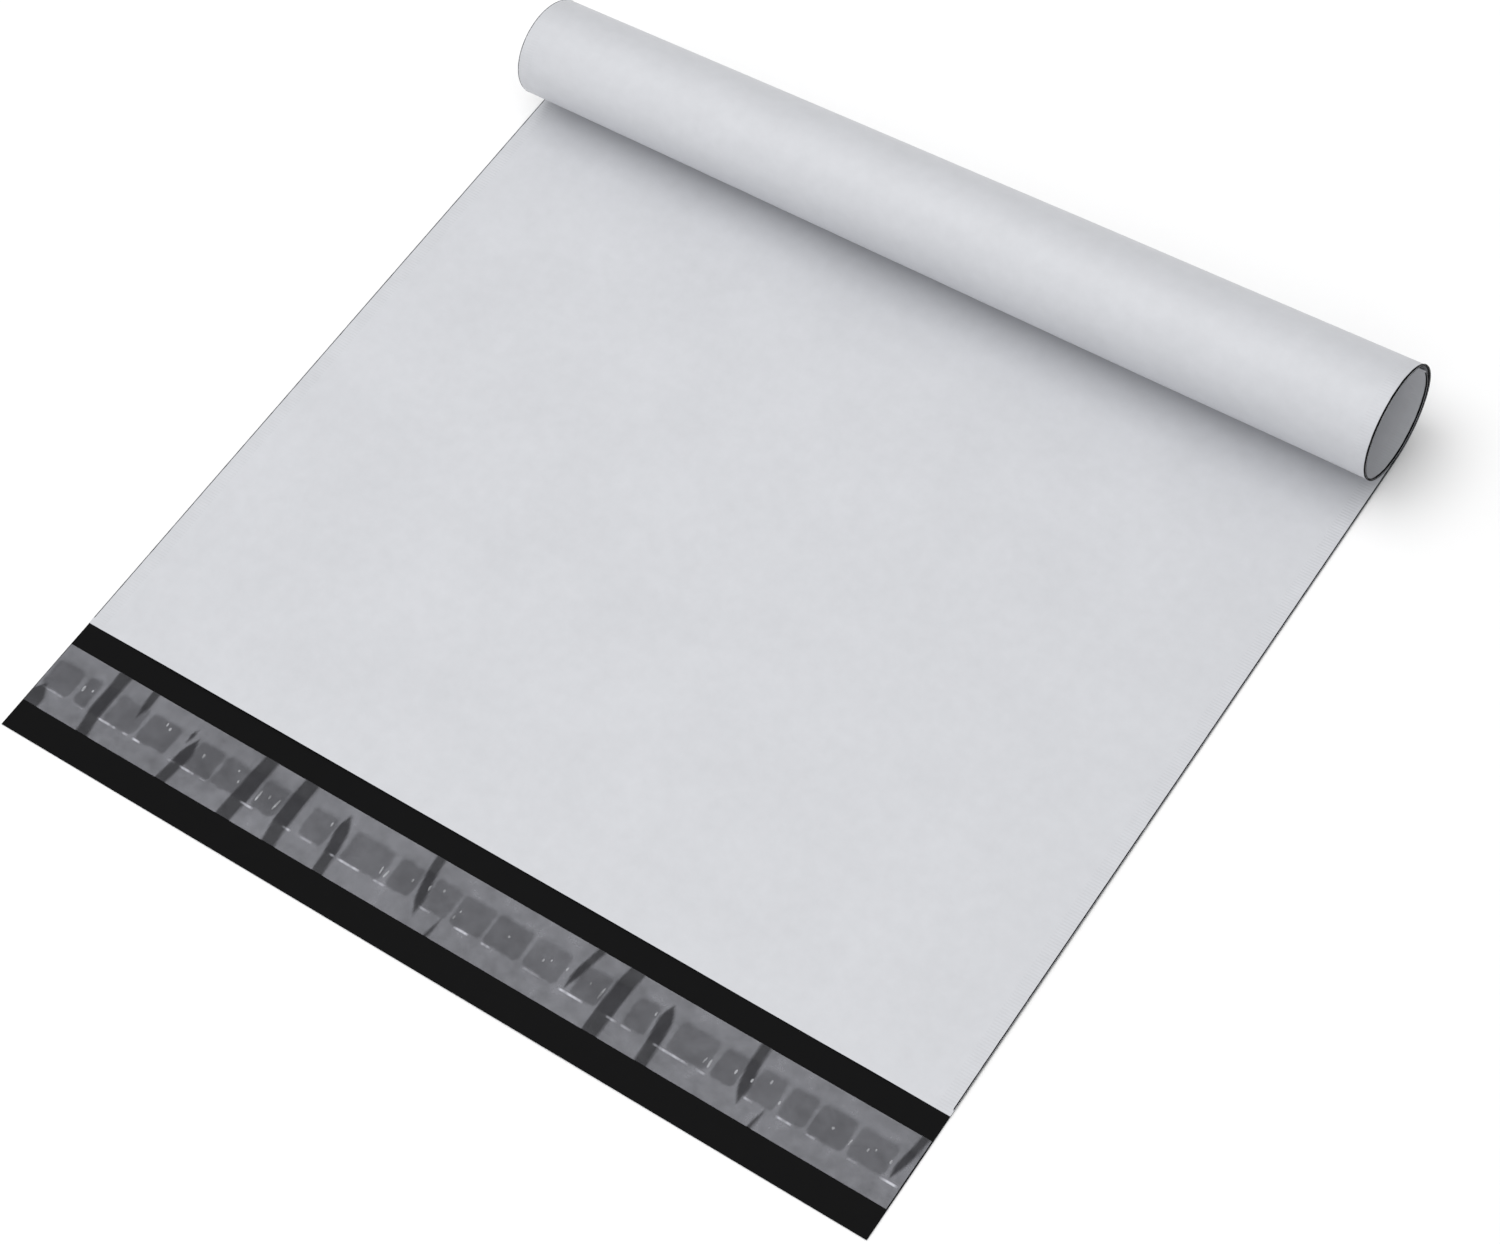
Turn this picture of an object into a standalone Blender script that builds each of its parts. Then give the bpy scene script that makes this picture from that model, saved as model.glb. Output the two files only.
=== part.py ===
"""Poly mailer bag: one co-extruded film, folded at the bottom and welded along both sides.

The bag lies face up. Its back panel runs on past the mouth as a flap, which carries a band of glue under
a peel-off liner, and its closed end is rolled over. X runs across the bag, Y from the flap's tip towards
the roll, and Z is up. The origin is at the centre of the footprint, on the surface that the bag lies on.
"""

import math

import bmesh
import bpy
from mathutils import Vector

# Driving dimensions, in metres.
BAG_WIDTH = 0.368          # 14.5 in
PANEL_LENGTH = 0.483       # 19 in, from the mouth to the bottom fold
FLAP_LENGTH = 0.049        # how far the back panel runs past the mouth
FILM = 0.00025             # one wall of film
POCKET_GAP = 0.0003        # between the front and the back panel of the flat bag
SIDE_WELD = 0.006          # width of the weld along each side

# The rolled end. Its section is a spiral that has slumped a little towards the mouth, and it is slightly
# larger at the right. Start is the distance from the flap's tip to where the film leaves the surface.
ROLL_START_LEFT = 0.342
ROLL_START_RIGHT = 0.344
ROLL_RADIUS_LEFT = 0.0214
ROLL_RADIUS_RIGHT = 0.0242
TURN_PITCH = 0.002         # how much closer to the axis each turn lies
ROLL_WIDEN = 1.02          # the sagged roll's width and height, against a round one
ROLL_FLATTEN = 0.99
ROLL_LEAN = 0.09           # how far it leans towards the mouth, for each unit of height
ROLL_STEP = math.radians(9.0)

# The closure on the flap.
GLUE_CENTRE = 0.0262       # from the flap's tip to the middle of the glue band
GLUE_WIDTH = 0.012
GLUE_THICKNESS = 0.0002
LINER_START = 0.0119       # from the flap's tip to the liner's nearer edge
LINER_WIDTH = 0.0268
LINER_THICKNESS = 0.0001
END_MARGIN = 0.0008        # the glue and the liner stop this far short of the flap's sides
SEAT = 0.0003              # gap between pieces that touch

# Worked out from the dimensions above.
FOLDED = 2 * FILM + POCKET_GAP
WEB_LENGTH = FLAP_LENGTH + PANEL_LENGTH
HALF_WIDTH = BAG_WIDTH / 2
SPIRAL_RATE = TURN_PITCH / (2 * math.pi)
OVERCUT = 0.001            # how far a cutter stands out of what it cuts


def clear_scene():
    for item in list(bpy.data.objects):
        bpy.data.objects.remove(item, do_unlink=True)


def make_collection(name):
    group = bpy.data.collections.new(name)
    bpy.context.scene.collection.children.link(group)
    return group


def make_material(name, colour, roughness):
    material = bpy.data.materials.new(name)
    material.use_nodes = True
    shader = material.node_tree.nodes["Principled BSDF"]
    shader.inputs["Base Color"].default_value = (*colour, 1.0)
    shader.inputs["Roughness"].default_value = roughness
    shader.inputs["Metallic"].default_value = 0.0
    return material


def block(low, high):
    """A bmesh box between two corners."""
    bm = bmesh.new()
    bmesh.ops.create_cube(bm, size=1.0)
    size = Vector(high) - Vector(low)
    middle = (Vector(high) + Vector(low)) / 2
    bmesh.ops.scale(bm, vec=size, verts=bm.verts)
    bmesh.ops.translate(bm, vec=middle, verts=bm.verts)
    return bm


def round_far_end(bm, radius, segments):
    """Round the end that faces the bottom fold to a half circle, as folded film bends."""
    far = max(v.co.y for v in bm.verts)
    edges = [e for e in bm.edges if all(abs(v.co.y - far) < 1e-6 for v in e.verts)
             and abs(e.verts[0].co.z - e.verts[1].co.z) < 1e-6]
    bmesh.ops.bevel(bm, geom=edges, offset=radius * 0.999, offset_type="OFFSET", segments=segments,
                    profile=0.5, affect="EDGES", material=-1)


def to_object(bm, name, group, material=None):
    bmesh.ops.recalc_face_normals(bm, faces=bm.faces)
    mesh = bpy.data.meshes.new(name)
    bm.to_mesh(mesh)
    bm.free()
    item = bpy.data.objects.new(name, mesh)
    group.objects.link(item)
    if material:
        mesh.materials.append(material)
    return item


def make_cutter(bm, name, group):
    cutter = to_object(bm, name, group)
    cutter.hide_render = True
    cutter.display_type = "WIRE"
    return cutter


def cut(item, cutter):
    boolean = item.modifiers.new(cutter.name, "BOOLEAN")
    boolean.operation = "DIFFERENCE"
    boolean.solver = "EXACT"
    boolean.object = cutter


def across(x, at_left, at_right):
    """A value that changes evenly from the bag's left side to its right side."""
    share = (x + HALF_WIDTH) / BAG_WIDTH
    return at_left + share * (at_right - at_left)


def roll_start(x):
    return across(x, ROLL_START_LEFT, ROLL_START_RIGHT)


def roll_radius(x):
    """Radius of the roll where it begins."""
    return across(x, ROLL_RADIUS_LEFT, ROLL_RADIUS_RIGHT)


def roll_length(x, angle):
    """Length of film from the start of the roll to an angle round it."""
    return roll_radius(x) * angle - SPIRAL_RATE * angle ** 2 / 2


def roll_angle(x, length):
    """How far round the roll the film has gone after a length of it."""
    radius = roll_radius(x)
    return (radius - math.sqrt(radius ** 2 - 2 * SPIRAL_RATE * length)) / SPIRAL_RATE


def curled(point):
    """Where a point of the flat bag lies once the closed end is rolled over."""
    x, along, height = point
    if along <= roll_start(x):
        return Vector(point)
    angle = roll_angle(x, along - roll_start(x))
    radius = roll_radius(x) - SPIRAL_RATE * angle
    y = ROLL_WIDEN * radius * math.sin(angle)
    z = ROLL_FLATTEN * (roll_radius(x) - radius * math.cos(angle))
    run_y = ROLL_WIDEN * (radius * math.cos(angle) - SPIRAL_RATE * math.sin(angle))
    run_z = ROLL_FLATTEN * (radius * math.sin(angle) + SPIRAL_RATE * math.cos(angle))
    run_y -= ROLL_LEAN * run_z
    inward = Vector((0, -run_z, run_y)).normalized()
    return Vector((x, roll_start(x) + y - ROLL_LEAN * z, z)) + inward * height


def flat_bag(group, cutters, material):
    """The flat bag: two panels joined at the bottom fold and the side welds, open at the mouth."""
    web = block((-HALF_WIDTH, 0, 0), (HALF_WIDTH, WEB_LENGTH, FOLDED))
    round_far_end(web, FOLDED / 2, 4)
    bag = to_object(web, "bag_film", group, material)

    over_flap = block((-HALF_WIDTH - OVERCUT, -OVERCUT, FILM),
                      (HALF_WIDTH + OVERCUT, FLAP_LENGTH, FOLDED + OVERCUT))
    cut(bag, make_cutter(over_flap, "mouth_step_cutter", cutters))

    pocket = block((-HALF_WIDTH + SIDE_WELD, FLAP_LENGTH - OVERCUT, FILM),
                   (HALF_WIDTH - SIDE_WELD, WEB_LENGTH - FILM, FILM + POCKET_GAP))
    round_far_end(pocket, POCKET_GAP / 2, 2)
    cut(bag, make_cutter(pocket, "pocket_cutter", cutters))
    return bag


def slice_mesh(bm, point, normal):
    geometry = bm.verts[:] + bm.edges[:] + bm.faces[:]
    bmesh.ops.bisect_plane(bm, geom=geometry, dist=1e-8, plane_co=point, plane_no=normal)


def roll_closed_end(bag):
    """Slice the flat bag along the lines that stay straight in the roll, then bend it round."""
    evaluated = bag.evaluated_get(bpy.context.evaluated_depsgraph_get())
    mesh = bpy.data.meshes.new_from_object(evaluated)
    bm = bmesh.new()
    bm.from_mesh(mesh)

    for side in (-1, 1):
        slice_mesh(bm, (side * (HALF_WIDTH - SIDE_WELD), 0, 0), (1, 0, 0))
    last_angle = roll_angle(-HALF_WIDTH, WEB_LENGTH - ROLL_START_LEFT)
    for step in range(math.ceil(last_angle / ROLL_STEP)):
        left = ROLL_START_LEFT + roll_length(-HALF_WIDTH, step * ROLL_STEP)
        right = ROLL_START_RIGHT + roll_length(HALF_WIDTH, step * ROLL_STEP)
        slice_mesh(bm, (-HALF_WIDTH, left, 0), (left - right, BAG_WIDTH, 0))

    for vertex in bm.verts:
        vertex.co = curled(vertex.co)
    bmesh.ops.triangulate(bm, faces=bm.faces[:], quad_method="FIXED", ngon_method="EAR_CLIP")
    bm.to_mesh(mesh)
    bm.free()
    bag.modifiers.clear()
    bag.data = mesh


def strip(name, start, end, bottom, thickness, group, material):
    """A thin band across the flap."""
    reach = HALF_WIDTH - END_MARGIN
    bm = block((-reach, start, bottom), (reach, end, bottom + thickness))
    return to_object(bm, name, group, material)


def main():
    clear_scene()
    parts = make_collection("poly_mailer_bag")
    cutters = make_collection("cutters")
    film_finish = make_material("film", (0.66, 0.67, 0.70), 0.42)
    glue_finish = make_material("hot_melt_glue", (0.15, 0.15, 0.16), 0.3)
    liner_finish = make_material("peel_liner", (0.22, 0.22, 0.23), 0.35)

    bag = flat_bag(parts, cutters, film_finish)
    roll_closed_end(bag)
    glue = strip("adhesive_strip", GLUE_CENTRE - GLUE_WIDTH / 2, GLUE_CENTRE + GLUE_WIDTH / 2,
                 FILM + SEAT, GLUE_THICKNESS, parts, glue_finish)
    liner = strip("release_liner", LINER_START, LINER_START + LINER_WIDTH,
                  FILM + GLUE_THICKNESS + 2 * SEAT, LINER_THICKNESS, parts, liner_finish)

    footprint = max(v.co.y for v in bag.data.vertices)
    centre = bpy.data.objects.new("footprint_centre", None)
    parts.objects.link(centre)
    centre.location = (0, -footprint / 2, 0)
    for piece in (bag, glue, liner):
        piece.parent = centre


main()
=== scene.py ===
# %% [markdown]
# # A poly mailer bag
# A poly mailer is the plainest of shipping packs. One web of thin film, light grey outside and black
# inside, is folded once across the bottom and welded along both sides. The back half of the web is longer
# than the front, and the extra length is the flap. It carries a band of glue, kept from sticking too soon
# by a peel-off liner. This bag lies face up with its flap nearest and its closed end rolled over, as such
# bags stay when they come off a stack.

import math

import bmesh
import bpy
import numpy as np
from mathutils import Matrix, Quaternion, Vector, noise


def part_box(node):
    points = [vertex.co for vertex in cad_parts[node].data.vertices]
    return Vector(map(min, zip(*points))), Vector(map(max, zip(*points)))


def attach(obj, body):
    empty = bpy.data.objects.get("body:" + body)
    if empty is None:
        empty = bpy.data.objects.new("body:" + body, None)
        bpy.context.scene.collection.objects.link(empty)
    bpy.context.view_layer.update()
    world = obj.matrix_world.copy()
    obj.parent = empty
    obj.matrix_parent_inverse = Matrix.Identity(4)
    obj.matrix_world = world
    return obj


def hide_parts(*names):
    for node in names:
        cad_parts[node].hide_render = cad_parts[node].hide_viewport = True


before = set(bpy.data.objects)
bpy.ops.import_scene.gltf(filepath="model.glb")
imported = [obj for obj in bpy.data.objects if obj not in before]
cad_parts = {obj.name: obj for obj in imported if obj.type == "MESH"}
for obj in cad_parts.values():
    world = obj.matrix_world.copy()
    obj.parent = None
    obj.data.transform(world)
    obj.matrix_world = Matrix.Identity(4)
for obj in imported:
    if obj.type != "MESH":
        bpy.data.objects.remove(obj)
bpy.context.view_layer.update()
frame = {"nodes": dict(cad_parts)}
print("solid model:", ", ".join(frame["nodes"]))

# %% [markdown]
# ## Measures taken from the solid model
# The solid model already has the bag's real size, so every place here starts from its box: the flap's tip
# is the low Y side, the surface that it lies on is Z = 0, and the width is the box's X side. Only what a
# box can't tell, such as how far the flap runs and how the roll winds, is written down as a value here.

# %% Places and driving dimensions
bag_low, bag_high = (Vector(corner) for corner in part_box("bag_film"))
BAG_WIDTH = bag_high.x - bag_low.x
HALF_WIDTH = BAG_WIDTH / 2
FLAP_TIP_Y = bag_low.y
MM = 0.001

FLAP_LENGTH = 0.049
PANEL_LENGTH = 0.483
BACK_LENGTH = FLAP_LENGTH + PANEL_LENGTH
SIDE_WELD = 0.006

WALL = 0.0002        # one wall of film
POCKET = 0.00012     # between the two panels of the flat bag
FOLDED = 2 * WALL + POCKET
print(f"bag {BAG_WIDTH / MM:.0f} mm wide, back panel {BACK_LENGTH / MM:.0f} mm long")
print(f"flap tip at y {FLAP_TIP_Y:.4f}")

# %% [markdown]
# ## The camera
# The bag is seen from high up over its right front corner, with a long lens, so that its sides run almost
# parallel. The camera is placed by where it looks, how far away it stands, and two angles, and it is then
# turned a little about its own axis. That is easier to read, and to change, than a place and three Euler
# angles.

# %% Camera
LENS_MM = 79.96
SENSOR_MM = 36.0
AIM = Vector((0.0231, -0.0121, 0.0))
DISTANCE = 1.1724
AZIMUTH = math.radians(43.93)
ELEVATION = math.radians(57.27)
TILT = math.radians(-11.47)

sight = Vector((
    -math.sin(AZIMUTH) * math.cos(ELEVATION),
    math.cos(AZIMUTH) * math.cos(ELEVATION),
    -math.sin(ELEVATION),
))
camera_data = bpy.data.cameras.new("camera")
camera_data.lens = LENS_MM
camera_data.sensor_width = SENSOR_MM
camera = bpy.data.objects.new("camera", camera_data)
camera.location = AIM - sight * DISTANCE
camera.rotation_mode = "QUATERNION"
camera.rotation_quaternion = sight.to_track_quat("-Z", "Y") @ Quaternion((0, 0, 1), TILT)
bpy.context.scene.collection.objects.link(camera)
bpy.context.scene.camera = camera
print("camera at", [round(value, 3) for value in camera.location])

# %% [markdown]
# ## Small helpers for materials
# Every finish below is a Principled shader fed by a few nodes. Adding a node, setting its sockets and
# linking it are the same three steps each time, so one helper does them. A socket given as a number is
# set, and a socket given as another node's output is linked. A keyword names the socket, with _ for a
# space, and _0, _1 and so on name it by its place.

# %% Node helpers
def connect(tree, socket, value):
    if isinstance(value, bpy.types.NodeSocket):
        tree.links.new(value, socket)
    else:
        socket.default_value = value


def add_node(tree, kind, settings=None, **sockets):
    node = tree.nodes.new(kind)
    for name, value in (settings or {}).items():
        setattr(node, name, value)
    for name, value in sockets.items():
        key = int(name[1:]) if name.startswith("_") else name.replace("_", " ")
        connect(tree, node.inputs[key], value)
    return node


def math_node(tree, operation, first, second=0.0):
    return add_node(tree, "ShaderNodeMath", {"operation": operation}, _0=first, _1=second).outputs[0]


def remap(tree, value, low, high, to_low, to_high, smooth=False):
    settings = {"interpolation_type": "SMOOTHSTEP"} if smooth else {}
    node = add_node(tree, "ShaderNodeMapRange", settings, _0=value, _1=low, _2=high, _3=to_low, _4=to_high)
    return node.outputs[0]


def scaled(tree, vector, factors):
    return add_node(tree, "ShaderNodeMapping", None, Vector=vector, Scale=factors).outputs[0]


def axes(tree, vector):
    return add_node(tree, "ShaderNodeSeparateXYZ", None, Vector=vector).outputs


# %% Material helpers
def new_material(name):
    material = bpy.data.materials.new(name)
    material.use_nodes = True
    return material, material.node_tree, material.node_tree.nodes["Principled BSDF"]


def set_shader(shader, **values):
    for name, value in values.items():
        shader.inputs[name.replace("_", " ")].default_value = value


# %% [markdown]
# ## The floor
# The floor is one wide pale square, a hair below the bag so that the two faces never flicker against each
# other. It isn't part of the bag, so it goes in a collection of its own.

# %% Floor
FLOOR_DROP = 0.0002
FLOOR_HALF_SIZE = 6.0


def collection_of(name):
    group = bpy.data.collections.new(name)
    bpy.context.scene.collection.children.link(group)
    return group


def object_from(bm, name, group):
    """A new object made from a bmesh, which is used up."""
    mesh = bpy.data.meshes.new(name)
    bm.to_mesh(mesh)
    bm.free()
    item = bpy.data.objects.new(name, mesh)
    group.objects.link(item)
    return item


stage = collection_of("stage")
pieces = collection_of("poly_mailer_bag")

floor_bm = bmesh.new()
bmesh.ops.create_grid(floor_bm, x_segments=1, y_segments=1, size=FLOOR_HALF_SIZE)
bmesh.ops.translate(floor_bm, vec=(0, 0, -FLOOR_DROP), verts=floor_bm.verts)
floor = object_from(floor_bm, "floor", stage)
floor_finish, _, floor_paint = new_material("pale_floor")
set_shader(floor_paint, Base_Color=(0.93, 0.93, 0.93, 1.0), Roughness=0.8, Specular_IOR_Level=0.2)
floor.data.materials.append(floor_finish)
print(f"floor {2 * FLOOR_HALF_SIZE:.0f} m wide")

# %% [markdown]
# ## The light
# Film shows its shape by soft changes of tone, so it is lit as a product table is: a bright even surround,
# with one broad lamp above. The surround is brightest behind the viewer and dims towards the far side. It
# alone gives the gentle dark that gathers under the roll, and the lamp gives the roll's top its brighter
# band. Small hard lamps would put streaks on the satin film that a soft room doesn't.

# %% Surround
FRONT_HORIZON = 1.15
BACK_HORIZON = 0.05
ZENITH = 0.97
FRONT_TURN = math.radians(30)

world = bpy.data.worlds.new("surround")
bpy.context.scene.world = world
world.use_nodes = True
sky = world.node_tree
direction = add_node(sky, "ShaderNodeTexCoord").outputs["Generated"]
turned = add_node(sky, "ShaderNodeVectorRotate", {"rotation_type": "Z_AXIS"}, Vector=direction,
                  Angle=FRONT_TURN).outputs[0]
towards = axes(sky, turned)
horizon = remap(sky, towards["Y"], -1.0, 1.0, FRONT_HORIZON, BACK_HORIZON)
brightness = remap(sky, towards["Z"], 0.0, 1.0, horizon, ZENITH)
background = sky.nodes["Background"].inputs
background["Color"].default_value = (1.0, 1.0, 1.0, 1.0)
connect(sky, background["Strength"], brightness)
print(f"surround {FRONT_HORIZON} in front, {BACK_HORIZON} at the back, {ZENITH} overhead")

# %% Lamp
LAMP_WATTS = 9.0
LAMP_PLACE = Vector((-0.30, 0.0, 1.5))
LAMP_SIZE = (1.4, 1.0)

lamp_data = bpy.data.lights.new("overhead_lamp", "AREA")
lamp_data.shape = "RECTANGLE"
lamp_data.size = LAMP_SIZE[0]
lamp_data.size_y = LAMP_SIZE[1]
lamp_data.energy = LAMP_WATTS
lamp = bpy.data.objects.new("overhead_lamp", lamp_data)
lamp.location = LAMP_PLACE
lamp.rotation_euler = (-LAMP_PLACE).to_track_quat("-Z", "Y").to_euler()
stage.objects.link(lamp)
bpy.context.scene.view_settings.view_transform = "Standard"
print(f"lamp of {LAMP_WATTS} W, {LAMP_SIZE[0]} by {LAMP_SIZE[1]} m")

# %% [markdown]
# ## What blown film looks like close up
# The film is blown as a bubble and wound flat. It is never quite even: it has faint clouds where it is
# thicker or thinner, fine lines along its length from the lips of the die, and here and there a speck of
# unmelted resin. Both faces of the film show all three, so they are one node group with its own strengths,
# used by the grey outside, the black inside and the liner. The group reads the film's own flat map, in
# metres, so that the die lines follow the film round the roll.

# %% Node group: blown film
CLOUD_SCALE = 26.0
GRAIN_SCALE = 170.0
DIE_LINE_SCALE = (900.0, 7.0, 1.0)
SPECK_SCALE = 210.0
SPECK_PICK = (0.86, 0.9)       # only the few cells above this have a speck
SPECK_RADIUS = (0.02, 0.16)    # as a share of a cell
GRAIN_HEIGHT = 0.35


def make_film_group():
    group = bpy.data.node_groups.new("blown_film", "ShaderNodeTree")
    inputs = (("Web", "NodeSocketVector", (0, 0, 0)), ("Clouds", "NodeSocketFloat", 0.02),
              ("Die Lines", "NodeSocketFloat", 0.5), ("Specks", "NodeSocketFloat", 1.0),
              ("Gloss", "NodeSocketFloat", 0.4), ("Gloss Spread", "NodeSocketFloat", 0.08))
    for name, kind, value in inputs:
        group.interface.new_socket(name, in_out="INPUT", socket_type=kind).default_value = value
    for name in ("Tone", "Roughness", "Height"):
        group.interface.new_socket(name, in_out="OUTPUT", socket_type="NodeSocketFloat")
    given = group.nodes.new("NodeGroupInput").outputs
    result = group.nodes.new("NodeGroupOutput").inputs
    web = given["Web"]

    broad = add_node(group, "ShaderNodeTexNoise", None, Vector=web, Scale=CLOUD_SCALE, Detail=3.0,
                     Roughness=0.55).outputs[0]
    fine = add_node(group, "ShaderNodeTexNoise", None, Vector=web, Scale=GRAIN_SCALE, Detail=4.0,
                    Roughness=0.6).outputs[0]
    cloud = math_node(group, "SUBTRACT", math_node(group, "ADD", broad, fine), 1.0)
    tone = math_node(group, "MULTIPLY", cloud, given["Clouds"])
    connect(group, result["Tone"], math_node(group, "ADD", tone, 1.0))

    spread = math_node(group, "MULTIPLY", math_node(group, "SUBTRACT", broad, 0.5), given["Gloss Spread"])
    connect(group, result["Roughness"], math_node(group, "ADD", spread, given["Gloss"]))

    lines = add_node(group, "ShaderNodeTexNoise", None, Vector=scaled(group, web, DIE_LINE_SCALE),
                     Scale=1.0, Detail=2.0, Roughness=0.5).outputs[0]
    ridges = math_node(group, "MULTIPLY", lines, given["Die Lines"])
    height = math_node(group, "ADD", ridges, math_node(group, "MULTIPLY", fine, GRAIN_HEIGHT))
    cells = add_node(group, "ShaderNodeTexVoronoi", {"feature": "F1"}, Vector=web,
                     Scale=SPECK_SCALE).outputs
    picked = remap(group, cells["Color"], *SPECK_PICK, 0.0, 1.0)
    dot = remap(group, cells["Distance"], *SPECK_RADIUS, 1.0, 0.0, True)
    speck = math_node(group, "MULTIPLY", math_node(group, "MULTIPLY", dot, picked), given["Specks"])
    connect(group, result["Height"], math_node(group, "ADD", height, speck))
    return group


film_group = make_film_group()
print(film_group.name, "has", len(film_group.nodes), "nodes")

# %% [markdown]
# ## The side welds
# A hot bar presses the two panels together along each side and leaves a fine ribbed band a few millimetres
# wide. It is shallow, so it is a bump and a small change of tone, found from how far across the web a point
# lies.

# %% Node group: side weld
RIB_PITCH = 0.0012
WELD_BLUR = 0.0003


def make_weld_group():
    group = bpy.data.node_groups.new("side_weld", "ShaderNodeTree")
    group.interface.new_socket("Web", in_out="INPUT", socket_type="NodeSocketVector")
    for name in ("Mask", "Height"):
        group.interface.new_socket(name, in_out="OUTPUT", socket_type="NodeSocketFloat")
    given = group.nodes.new("NodeGroupInput").outputs
    result = group.nodes.new("NodeGroupOutput").inputs
    place = axes(group, given["Web"])
    from_middle = math_node(group, "ABSOLUTE", place["X"])
    start = HALF_WIDTH - SIDE_WELD
    mask = remap(group, from_middle, start - WELD_BLUR, start + WELD_BLUR, 0.0, 1.0, True)
    ribs = math_node(group, "SINE", math_node(group, "MULTIPLY", place["Y"], 2 * math.pi / RIB_PITCH))
    connect(group, result["Mask"], mask)
    connect(group, result["Height"], math_node(group, "MULTIPLY", ribs, mask))
    return group


weld_group = make_weld_group()
print(f"side weld {SIDE_WELD / MM:.0f} mm wide, a rib every {RIB_PITCH / MM:.1f} mm")

# %% [markdown]
# ## The film's three finishes
# Outside, the film is pigmented light grey with a satin skin. Inside it is filled with carbon black, which
# is matt and hides what is sent. Cut or melted edges show the black core, which draws a thin dark line
# round the bag. At the mouth the cut edge is painted light instead, as a painted highlight along it.

# %% Helpers for the film's finishes
WEB_MAP = "web"
BUMP_DEPTH = 0.00002


def web_coordinates(tree):
    return add_node(tree, "ShaderNodeUVMap", {"uv_map": WEB_MAP}).outputs[0]


def use_group(tree, group, **sockets):
    return add_node(tree, "ShaderNodeGroup", {"node_tree": group}, **sockets).outputs


def tinted(tree, colour, tone):
    return add_node(tree, "ShaderNodeVectorMath", {"operation": "SCALE"}, _0=colour, Scale=tone).outputs[0]


def bumped(tree, shader, height, distance=BUMP_DEPTH):
    bump = add_node(tree, "ShaderNodeBump", None, Height=height, Distance=distance, Strength=1.0)
    tree.links.new(bump.outputs[0], shader.inputs["Normal"])


# %% Film materials
GREY_SKIN = (0.555, 0.564, 0.591)
BLACK_SKIN = (0.0034, 0.0034, 0.0036)
BLACK_CORE = (0.004, 0.004, 0.0044)
WELD_DARKER = 0.008
RIB_HEIGHT = 1.1
MOUTH_REACH = 0.004      # the painted highlight on the mouth's edge covers the last of the web, no further from its end than this
MOUTH_PAINTED_HIGHLIGHT = 90.0
NICK_SCALE = 1500.0
NICK_RANGE = (0.35, 0.65)
NICK_TONES = (0.7, 1.3)


def make_outside():
    material, tree, shader = new_material("grey_film_outside")
    web = web_coordinates(tree)
    film = use_group(tree, film_group, Web=web, Clouds=0.11, Die_Lines=0.5, Specks=1.2, Gloss=0.44,
                     Gloss_Spread=0.16)
    weld = use_group(tree, weld_group, Web=web)
    tone = math_node(tree, "SUBTRACT", film["Tone"], math_node(tree, "MULTIPLY", weld["Mask"], WELD_DARKER))
    tree.links.new(tinted(tree, GREY_SKIN, tone), shader.inputs["Base Color"])
    tree.links.new(film["Roughness"], shader.inputs["Roughness"])
    ribs = math_node(tree, "MULTIPLY", weld["Height"], RIB_HEIGHT)
    bumped(tree, shader, math_node(tree, "ADD", film["Height"], ribs))
    set_shader(shader, Specular_IOR_Level=0.4)
    return material


def make_inside():
    material, tree, shader = new_material("black_film_inside")
    web = web_coordinates(tree)
    film = use_group(tree, film_group, Web=web, Clouds=0.25, Die_Lines=0.7, Specks=1.0, Gloss=0.55,
                     Gloss_Spread=0.12)
    tree.links.new(tinted(tree, BLACK_SKIN, film["Tone"]), shader.inputs["Base Color"])
    tree.links.new(film["Roughness"], shader.inputs["Roughness"])
    bumped(tree, shader, film["Height"])
    set_shader(shader, Specular_IOR_Level=0.05)
    return material


def make_edge():
    material, tree, shader = new_material("cut_film_edge")
    web = web_coordinates(tree)
    nicks = add_node(tree, "ShaderNodeTexNoise", None, Vector=web, Scale=NICK_SCALE, Detail=2.0).outputs[0]
    core = remap(tree, nicks, *NICK_RANGE, *NICK_TONES)
    # The cut edge at the mouth is painted light grey: a painted highlight along the mouth's edge.
    mouth_at = 2 * BACK_LENGTH - FLAP_LENGTH
    highlight_at_mouth = math_node(tree, "GREATER_THAN", axes(tree, web)["Y"], mouth_at - MOUTH_REACH)
    tone = math_node(tree, "ADD", core, math_node(tree, "MULTIPLY", highlight_at_mouth, MOUTH_PAINTED_HIGHLIGHT))
    tree.links.new(tinted(tree, BLACK_CORE, tone), shader.inputs["Base Color"])
    set_shader(shader, Roughness=0.6, Specular_IOR_Level=0.05)
    return material


outside = make_outside()
inside = make_inside()
edge = make_edge()
print("finishes:", outside.name, inside.name, edge.name)

# %% [markdown]
# ## From the flat web to the lying bag
# The film is modelled as it is made. A flat grid is the web, as it leaves the reel. One function folds it
# in two across the bottom, and a second winds the closed end into a loose roll. Both only say where a
# point of the flat piece goes, so the pattern on the web and the length of the film stay true. The roll's
# section is a spiral that has slumped a little towards the mouth, and it is slightly larger at the right.

# %% Folding and rolling
# A pair is a value at the bag's left side and at its right side.
ROLL_START = (0.342, 0.344)
ROLL_RADIUS = (0.0214, 0.0242)
TURN_PITCH = 0.002
ROLL_WIDEN = 1.02
ROLL_FLATTEN = 0.99
ROLL_LEAN = 0.09
SPIRAL_RATE = TURN_PITCH / (2 * math.pi)
FIRST_ROLL = min(ROLL_START)
FOLD_RADIUS = FOLDED / 2
FOLD_AT = BACK_LENGTH - FOLD_RADIUS
WEB_LENGTH = FOLD_AT + math.pi * FOLD_RADIUS + FOLD_AT - FLAP_LENGTH


def across(x, ends):
    """A value that changes evenly from the bag's left side to its right side."""
    share = (x + HALF_WIDTH) / BAG_WIDTH
    return ends[0] + share * (ends[1] - ends[0])


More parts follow.
